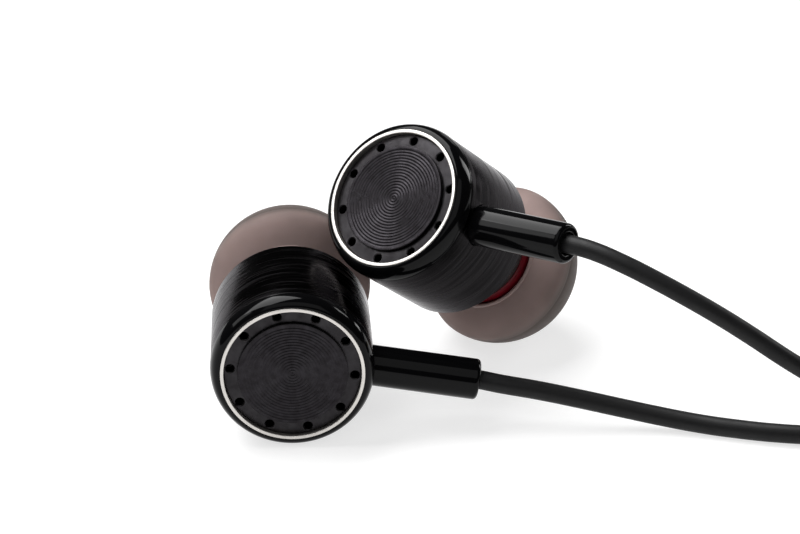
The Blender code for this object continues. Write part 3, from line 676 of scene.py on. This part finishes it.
def make_cables():
    """Both branch cables and the main cable, each with its whole length."""
    made = {}
    outer = outer_radius(BRANCH_COIL)
    low = COIL_LIFT
    routes = {"left": (LEFT_ROUTE, LEFT_TAIL, 1), "right": (RIGHT_ROUTE, RIGHT_TAIL, -1)}
    for side, (route, tail, sign) in routes.items():
        matrix = earphone_matrix(EARPHONES[side])
        ends = [Vector((x, 0, STEM_PLACE)) * MM for x in (STEM_END - 5.5, STEM_END)]
        inside, mouth = (tuple(matrix @ end / MM) for end in ends)
        line = CORD_LINE + sign * PAIR_SPACING / 2
        straight = [(x, line, PAIR_HEIGHT) for x in (60.0, 65.0, SPLIT_START + 1.5)]
        turns = winding(BRANCH_COIL, CORD_LINE + outer, low)
        points = [inside, mouth] + route + turns + tail + straight
        nodes = [side + "_cable", side + "_coil", side + "_cable_tail"]
        made[side] = cable(side + "_branch_cord", points, BRANCH_DIAMETER, *nodes), mouth
        low += BRANCH_COIL["rows"] * BRANCH_DIAMETER + COIL_GAP
    outer = outer_radius(MAIN_COIL)
    split_end = SPLIT_START + SPLIT_LENGTH
    start = [(split_end - 1.5, CORD_LINE, PAIR_HEIGHT), (split_end + 2.0, CORD_LINE, 1.72)]
    turns = winding(MAIN_COIL, CORD_LINE + outer, COIL_LIFT)
    relief_end = PLUG_PLACE[0] + GRIP_LENGTH + RELIEF_LENGTH
    end = [(relief_end, *PLUG_PLACE[1:]), (relief_end - 6.0, *PLUG_PLACE[1:])]
    nodes = ["main_cable_head", "main_coil", "main_cable_tail"]
    points = start + turns + MAIN_TAIL + end
    mouth = (split_end, CORD_LINE, PAIR_HEIGHT)
    made["main"] = cable("main_cord", points, MAIN_DIAMETER, *nodes), mouth
    return made


# Pieces of one earphone

def make_bezel(side, matrix):
    """A rim that curves from the silver ring to the full radius, as a superellipse."""
    outline = []
    for degrees in range(88, 3, -3):
        angle = math.radians(degrees)
        across = math.cos(angle) ** (2 / RIM_FULLNESS)
        along = math.sin(angle) ** (2 / RIM_FULLNESS)
        outline.append((SHELL_RADIUS - RIM_WIDTH * (1 - across), RIM_TOP + RIM_DEPTH * (1 - along)))
    outline += [
        (SHELL_RADIUS, BEZEL_END - 0.05), (SHELL_RADIUS - 0.05, BEZEL_END),
        (TRIM_OUTER, BEZEL_END), (TRIM_OUTER, TRIM_SEAT + 0.1),
        (TRIM_INNER + 0.06, TRIM_SEAT + 0.1), (TRIM_INNER + 0.06, TRIM_SEAT),
        (TRIM_OUTER + TRIM_GAP, TRIM_SEAT), (TRIM_OUTER + TRIM_GAP, 0.05),
    ]
    piece = lathe(side + "_bezel_ring", outline, matrix, LOOKS["gloss_black"])
    ride(piece, "root", "gloss_black", side + "_bezel")


def make_trim(side, matrix):
    bottom = TRIM_SEAT - 0.06
    outline = rounded([
        (TRIM_INNER, bottom), (TRIM_INNER, TRIM_TOP, 0.035), (TRIM_OUTER, TRIM_TOP, 0.035),
        (TRIM_OUTER, bottom),
    ])
    piece = lathe(side + "_silver_ring", outline, matrix, LOOKS["silver"], crease=60)
    ride(piece, "root", "silver", side + "_trim_ring")


def make_vent_plate(side, matrix, turn):
    face = TRIM_INNER - 0.06
    outline = rounded([
        (PLATE_INNER, PLATE_TOP), (PLATE_INNER, PLATE_BOTTOM), (PLATE_RADIUS, PLATE_BOTTOM, 0.05),
        (PLATE_RADIUS, PLATE_FLANGE, 0.03), (face, PLATE_FLANGE), (face, PLATE_TOP, 0.04),
    ])
    piece = lathe(side + "_vented_plate", outline, matrix, LOOKS["dark_plate"])
    above, below = PLATE_TOP - 0.2, PLATE_BOTTOM + 0.22
    hole = [
        (0, above), (VENT_RADIUS + VENT_SINK, above), (VENT_RADIUS, PLATE_TOP + VENT_SINK_DEPTH),
        (VENT_RADIUS, below), (0, below),
    ]
    for i in range(VENT_COUNT):
        a = math.radians(turn + 360 / VENT_COUNT * i)
        centre = Vector((math.cos(a), math.sin(a), 0)) * VENT_CIRCLE * MM
        place = matrix @ Matrix.Translation(centre)
        cut(piece, lathe("hole", hole, place, LOOKS["dark_plate"], COARSE))
    ride(piece, "root", "dark_plate", side + "_vent_plate")


def make_disc(side, matrix):
    """The raised centre disc, with its concentric grooves as real relief."""
    groove_count = int((DISC_RADIUS - 0.1) / GROOVE_PITCH)
    low, half = DISC_TOP + GROOVE_DEPTH, DISC_TOP + GROOVE_DEPTH * 0.55
    outline = [(0, DISC_BOTTOM), (DISC_RADIUS - 0.03, DISC_BOTTOM)]
    outline.append((DISC_RADIUS, DISC_BOTTOM - 0.03))
    outline += arc(DISC_RADIUS - 0.05, DISC_TOP + 0.05, 0.05, 0, -90, 4)
    for i in range(groove_count, 0, -1):
        r = i * GROOVE_PITCH - 0.02
        outline += [(r, DISC_TOP), (r - 0.055, half), (r - 0.095, low), (r - 0.135, half)]
        outline.append((r - 0.175, DISC_TOP))
    outline.append((0, DISC_TOP))
    piece = lathe(side + "_grooved_disc", outline, matrix, LOOKS["spun_disc"], crease=50)
    ride(piece, "root", "spun_disc", side + "_centre_disc")


def make_barrel(side, matrix):
    outline = rounded([
        (BARREL_BORE, BARREL_START), (BARREL_REAR_RADIUS, BARREL_START, 0.05),
        (BARREL_FRONT_RADIUS, BARREL_END, 0.05), (BARREL_LIP, BARREL_LIP_END, 0.05),
        (BARREL_BORE, BARREL_LIP_END),
    ])
    piece = lathe(side + "_brushed_barrel", outline, matrix, LOOKS["brushed_black"])
    radius, start, end = STEM_RADIUS + 0.05, BARREL_BORE - 1.12, SHELL_RADIUS + 1.5
    hole = [(0, start), (radius, start), (radius, end), (0, end)]
    cut(piece, lathe("hole", hole, matrix @ stem_place(), LOOKS["brushed_black"], SMALL))
    ride(piece, "root", "brushed_black", side + "_barrel")


def stem_place():
    return Matrix.Translation((0, 0, STEM_PLACE * MM)) @ Matrix.Rotation(math.pi / 2, 4, "Y")


def make_stem(side, matrix):
    outline = rounded([
        (STEM_RADIUS, STEM_ROOT), (STEM_RADIUS, STEM_END, 0.32), (STEM_BORE, STEM_END, 0.14),
        (STEM_BORE, STEM_ROOT),
    ], 7)
    place = matrix @ stem_place()
    piece = lathe(side + "_cable_stem", outline, place, LOOKS["gloss_black"], MEDIUM, 60)
    ride(piece, "root", "gloss_black", side + "_stem")


def make_housing(side, matrix):
    outline = rounded([
        (HOUSING_BORE, HOUSING_REAR), (HOUSING_RADIUS, HOUSING_REAR, 0.1),
        (HOUSING_RADIUS, HOUSING_FRONT, 0.12),
        (SHOULDER_RADIUS, SHOULDER_END, 0.08), (NOZZLE_RADIUS, SHOULDER_END),
        (NOZZLE_RADIUS, NOZZLE_END - 1.6), (NOZZLE_LIP_RADIUS, NOZZLE_END - 1.3, 0.1),
        (NOZZLE_LIP_RADIUS, NOZZLE_END - 0.6, 0.2), (NOZZLE_RADIUS, NOZZLE_END, 0.08),
        (MESH_SEAT_RADIUS, NOZZLE_END, 0.04), (MESH_SEAT_RADIUS, MESH_SEAT), (NOZZLE_BORE, MESH_SEAT),
        (NOZZLE_BORE, HOUSING_WALL), (HOUSING_BORE, HOUSING_WALL),
    ])
    piece = lathe(side + "_nozzle", outline, matrix, LOOKS["black_plastic"], MEDIUM)
    ride(piece, "root", "black_plastic", side + "_nozzle_housing")


def make_front_ring(side, matrix):
    rear = SHOULDER_END + 0.06
    inner = NOZZLE_RADIUS + 0.08
    outline = rounded([
        (inner, rear), (FRONT_RING_RADIUS, rear, 0.09), (FRONT_RING_RADIUS, FRONT_RING_END, 0.12),
        (inner, FRONT_RING_END),
    ])
    piece = lathe(side + "_red_ring", outline, matrix, LOOKS["red_ring"])
    ride(piece, "root", "red_ring", side + "_front_ring")


def make_mesh(side, matrix):
    """The nozzle's woven wire screen: two sets of wires that pass over and under each other."""
    radius = MESH_SEAT_RADIUS - 0.08
    made = bmesh.new()
    lines = int(radius / MESH_PITCH)
    for across in (False, True):
        for k in range(-lines, lines + 1):
            offset = k * MESH_PITCH
            half = math.sqrt(radius ** 2 - offset ** 2)
            count = max(4, round(2 * half / MESH_PITCH * 4))
            rings = []
            for i in range(count + 1):
                along = -half + 2 * half * i / count
                wave = math.cos(math.pi * along / MESH_PITCH) * (-1) ** k * (-1 if across else 1)
                ring = []
                for n in range(6):
                    a = 2 * math.pi * n / 6
                    side_step = offset + MESH_WIRE * math.cos(a)
                    height = MESH_LEVEL + MESH_WIRE * (wave + math.sin(a))
                    x, y = (side_step, along) if across else (along, side_step)
                    ring.append(made.verts.new((x * MM, y * MM, height * MM)))
                rings.append(ring)
            for a, b in zip(rings, rings[1:]):
                for n in range(6):
                    made.faces.new([a[n], a[(n + 1) % 6], b[(n + 1) % 6], b[n]])
            made.faces.new(rings[0])
            made.faces.new(rings[-1])
    piece = object_of(side + "_wire_screen", made, matrix, LOOKS["steel_mesh"])
    ride(piece, "root", "steel_mesh", side + "_nozzle_mesh")


def skirt_arc(radius, rim_radius, count):
    """An elliptical stretch of the skirt, from its rim to where it is widest."""
    half_length = (TIP_WIDEST - TIP_RIM) / math.sqrt(1 - (rim_radius / radius) ** 2)
    rim_angle = -math.degrees(math.acos(rim_radius / radius))
    return oval(radius, TIP_WIDEST, half_length, rim_angle, 0, count)


def make_ear_tip(side, matrix, tip_out):
    """A mushroom: a dome with a skirt that turns back over the core which grips the nozzle."""
    inner = TIP_RADIUS - TIP_WALL
    skirt = skirt_arc(TIP_RADIUS, TIP_RIM_RADIUS, 14)
    groove = TIP_RADIUS - TIP_SEAM_DEPTH
    dome = oval(TIP_RADIUS, TIP_WIDEST, TIP_DOME, 2, TIP_SEAM_ANGLE - 1, 3)
    dome += oval(groove, TIP_WIDEST, TIP_DOME, TIP_SEAM_ANGLE - 0.4, TIP_SEAM_ANGLE + 0.4, 2)
    dome += oval(TIP_RADIUS, TIP_WIDEST, TIP_DOME, TIP_SEAM_ANGLE + 1, 62, 14)
    mouth = arc(TIP_BORE + 0.6, TIP_FRONT - 0.6, 0.6, 60, 180, 8)
    socket = [
        (TIP_BORE, TIP_SOCKET_END + 0.4), (TIP_BORE + 0.05, TIP_SOCKET_END + 0.2),
        (TIP_SOCKET, TIP_SOCKET_END + 0.05), (TIP_SOCKET, TIP_CORE_REAR + 0.4),
    ]
    core_wall = (TIP_CORE_RADIUS - TIP_SOCKET) / 2
    core = arc(TIP_SOCKET + core_wall, TIP_CORE_REAR + core_wall, core_wall, 190, 350, 7)
    core.append((TIP_CORE_RADIUS, TIP_SOCKET_END - 0.4))
    core += arc(TIP_CORE_RADIUS + 0.6, TIP_SOCKET_END - 0.2, 0.6, 175, 115, 5)
    inside = oval(inner, TIP_WIDEST, TIP_DOME - TIP_WALL, 40, 4, 8)
    inside += reversed(skirt_arc(inner, TIP_RIM_RADIUS - TIP_RIM_WALL, 14))
    rim = arc(TIP_RIM_RADIUS - TIP_RIM_WALL / 2, TIP_RIM, TIP_RIM_WALL / 2, 200, 340, 6)
    outline = skirt + dome + mouth + socket + core + inside + rim
    place = matrix @ Matrix.Translation((0, 0, tip_out * MM))
    piece = lathe(side + "_silicone_tip", outline, place, LOOKS["silicone"], FINE, 50)
    ride(piece, side + "_tip", "silicone", side + "_ear_tip")


def make_earphone(side, spec):
    matrix = earphone_matrix(spec)
    make_bezel(side, matrix)
    make_trim(side, matrix)
    make_vent_plate(side, matrix, spec["vent_turn"])
    make_disc(side, matrix)
    make_barrel(side, matrix)
    make_stem(side, matrix)
    make_housing(side, matrix)
    make_front_ring(side, matrix)
    make_mesh(side, matrix)
    make_ear_tip(side, matrix, spec["tip_out"])


# Pieces on the cables

def lofted(name, sections, squareness, look, matrix, around=48):
    """A body with rounded-rectangle sections of (x, half width, half height) along X."""
    made = bmesh.new()
    rings = []
    for x, width, height in sections:
        ring = []
        for i in range(around):
            a = 2 * math.pi * i / around
            c, s = math.cos(a), math.sin(a)
            y = math.copysign(abs(c) ** (2 / squareness), c) * width
            z = math.copysign(abs(s) ** (2 / squareness), s) * height
            ring.append(made.verts.new((x * MM, y * MM, z * MM)))
        rings.append(ring)
    for a, b in zip(rings, rings[1:]):
        for i in range(around):
            j = (i + 1) % around
            made.faces.new([a[i], a[j], b[j], b[i]])
    made.faces.new(rings[0])
    made.faces.new(rings[-1])
    return object_of(name, made, matrix, look)


def make_split():
    length = SPLIT_LENGTH
    sections = [(0, 1.95, 1.3), (0.12, 2.2, 1.55), (0.45, 2.36, 1.74), (0.9, 2.4, 1.8)]
    for i in range(9):
        share = i / 8
        smooth = share * share * (3 - 2 * share)
        sections.append((1.5 + (length - 2.4) * share, 2.4 - 0.68 * smooth, 1.8 - 0.14 * smooth))
    sections += [(length - 0.4, 1.66, 1.6), (length - 0.12, 1.5, 1.45), (length, 1.3, 1.25)]
    place = Matrix.Translation(Vector((SPLIT_START, CORD_LINE, PAIR_HEIGHT)) * MM)
    piece = lofted("split_moulding", sections, 3.0, LOOKS["black_plastic"], place)
    return ride(piece, "root", "black_plastic", "y_split")


def make_slider():
    length = SLIDER_LENGTH
    sections = [(0, 1.85, 1.4), (0.15, 2.1, 1.62), (0.5, 2.26, 1.76), (0.9, 2.3, 1.8)]
    waist = ((-1.15, 0.0), (-1.0, 0.14), (-0.65, 0.2), (0, 0.22), (0.65, 0.2), (1.0, 0.14), (1.15, 0.0))
    for x, depth in waist:
        sections.append((length / 2 + x, 2.3 - depth, 1.8 - depth))
    sections += [(length - x, w, h) for x, w, h in sections[3::-1]]
    place = Matrix.Translation(Vector((SLIDER_START, CORD_LINE, PAIR_HEIGHT)) * MM)
    piece = lofted("slider_moulding", sections, 3.2, LOOKS["black_plastic"], place)
    for sign in (1, -1):
        shift = Matrix.Translation((0, sign * PAIR_SPACING / 2 * MM, 0))
        along = Matrix.Rotation(math.pi / 2, 4, "Y")
        bore = [(0, -1), (0.8, -1), (0.8, length + 1), (0, length + 1)]
        cut(piece, lathe("hole", bore, place @ shift @ along, LOOKS["black_plastic"], COARSE))
    return ride(piece, "slider", "black_plastic", "cinch_slider")


def make_tie(name, spec, low, high, centre_y, node):
    """A flat plastic-covered wire round a coil's section, with rounded corners."""
    half_width = spec["columns"] * spec["diameter"] / 2 + 0.5
    half_height = (high - low) / 2 + 0.1
    corner, edge = TIE_CORNER, TIE_WIDTH / 2
    path = []
    for sx, sz, start in ((1, 1, 0), (-1, 1, 90), (-1, -1, 180), (1, -1, 270)):
        for k in range(6):
            a = math.radians(start + 90 * k / 5)
            path.append((
                sx * (half_width - corner), sz * (half_height - corner), math.cos(a), math.sin(a),
            ))
    section = rounded([
        (0, -edge, 0.15), (TIE_THICKNESS, -edge, 0.15), (TIE_THICKNESS, edge, 0.15), (0, edge, 0.15),
    ], 3)
    made = bmesh.new()
    rings = []
    for x, z, c, s in path:
        rings.append([
            made.verts.new(((x + (corner + out) * c) * MM, along * MM, (z + (corner + out) * s) * MM))
            for out, along in section
        ])
    for a, b in zip(rings, rings[1:] + rings[:1]):
        for i in range(len(section)):
            j = (i + 1) % len(section)
            made.faces.new([a[i], a[j], b[j], b[i]])
    centre = Vector((spec["x"] + spec["radius"] - 0.3, centre_y, (low + high) / 2))
    piece = object_of(name, made, Matrix.Translation(centre * MM), LOOKS["tie_plastic"], 50)
    return ride(piece, "root", "tie_plastic", node)


def make_ties():
    made = {}
    tops = {
        "branch": 2 * BRANCH_COIL["rows"] * BRANCH_DIAMETER + COIL_GAP,
        "main": MAIN_COIL["rows"] * MAIN_DIAMETER,
    }
    for name, spec in (("branch", BRANCH_COIL), ("main", MAIN_COIL)):
        centre_y = CORD_LINE + outer_radius(spec)
        top = COIL_LIFT + tops[name]
        made[name] = make_tie(name + "_tie", spec, COIL_LIFT, top, centre_y, name + "_coil_tie")
    return made


def make_plug():
    """The plug's pieces. Height 0 is the shoulder, and +Z is the pin."""
    place = Matrix.Translation(Vector(PLUG_PLACE) * MM) @ Matrix.Rotation(-math.pi / 2, 4, "Y")
    end = -GRIP_LENGTH
    relief_end = end - RELIEF_LENGTH
    grip = [(1.82, 0), (2.9, 0, 0.2), (GRIP_RADIUS, -0.9, 0.4)]
    for i in range(7):
        z = -4.2 - i * 1.0
        grip += [(GRIP_RADIUS, z, 0.08), (GRIP_RADIUS - 0.22, z - 0.14, 0.08)]
        grip += [(GRIP_RADIUS - 0.22, z - 0.46, 0.08), (GRIP_RADIUS, z - 0.6, 0.08)]
    grip += [(GRIP_RADIUS, end + 1.6, 0.6), (2.5, end, 0.4)]
    grip += [(1.62, end), (1.62, end + 7), (1.82, end + 7)]
    relief = [(1.05, end + 6.5), (1.55, end + 6.5), (1.55, end - 0.05), (1.9, end - 0.05, 0.12)]
    steps = 6
    for i in range(steps):
        z = end - 1.1 - i * 1.2
        r = 1.9 - 0.4 * (i + 0.5) / steps
        relief += [(r, z, 0.07), (r - 0.28, z - 0.1, 0.05)]
        relief += [(r - 0.28, z - 0.45, 0.05), (r - 0.03, z - 0.55, 0.07)]
    relief += [(1.45, relief_end, 0.2), (1.05, relief_end)]
    groove = PIN_RADIUS - 0.03
    rear = PIN_SLEEVE_END + 0.05, PIN_RING_START - 0.05
    front = PIN_RING_END + 0.05, PIN_TIP_START - 0.05
    pieces = {
        "grip": (rounded(grip, 3), "black_plastic"),
        "relief": (rounded(relief, 3), "cable_rubber"),
        "sleeve": (rounded([
            (1.35, -3.0), (PIN_RADIUS, -3.0), (PIN_RADIUS, PIN_SLEEVE_END, 0.06),
            (1.35, PIN_SLEEVE_END),
        ]), "gold"),
        "rear_insulator": (rounded([
            (1.05, -3.5), (1.3, -3.5), (1.3, rear[0]), (groove, rear[0]), (groove, rear[1]),
            (1.05, rear[1]),
        ]), "insulator"),
        "ring": (rounded([
            (0.75, -4.0), (1.0, -4.0), (1.0, PIN_RING_START), (PIN_RADIUS, PIN_RING_START, 0.06),
            (PIN_RADIUS, PIN_RING_END, 0.06), (0.75, PIN_RING_END),
        ]), "gold"),
        "front_insulator": (rounded([
            (0.45, -4.5), (0.7, -4.5), (0.7, front[0]), (groove, front[0]), (groove, front[1]),
            (0.45, front[1]),
        ]), "insulator"),
        "tip": ([
            (0, -5.0), (0.4, -5.0), (0.4, PIN_TIP_START), (1.68, PIN_TIP_START),
            (1.7, PIN_TIP_START + 0.05),
        ] + rounded([
            (1.7, 11.72), (1.3, 12.15, 0.12), (1.66, 12.85, 0.3), (0.8, 13.9, 0.3),
            (0.4, PIN_LENGTH),
        ], 5) + [(0, PIN_LENGTH)], "gold"),
    }
    made = []
    for name, (outline, look) in pieces.items():
        piece = lathe("audio_plug_" + name, outline, place, LOOKS[look], MEDIUM, 40)
        made.append(ride(piece, "root", look, "plug_" + name))
    return made


def dress_cad_nodes():
    """The hidden pieces keep their CAD shape and get a detailed material."""
    inner = {
        "damper": "felt", "terminal_board": "circuit_board", "driver_frame": "frame_plastic",
        "driver_yoke": "plated_steel", "driver_magnet": "magnet", "driver_top_plate": "plated_steel",
        "voice_coil": "copper_wire", "diaphragm": "film", "driver_cover": "plated_steel",
    }
    for side in EARPHONES:
        for name, look in inner.items():
            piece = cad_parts[f"{side}_{name}"]
            piece.data.materials.clear()
            piece.data.materials.append(LOOKS[look])


make_camera()
cords = make_cables()
for side, spec in EARPHONES.items():
    make_earphone(side, spec)
split, slider, ties, plug = make_split(), make_slider(), make_ties(), make_plug()
dress_cad_nodes()
make_stage()
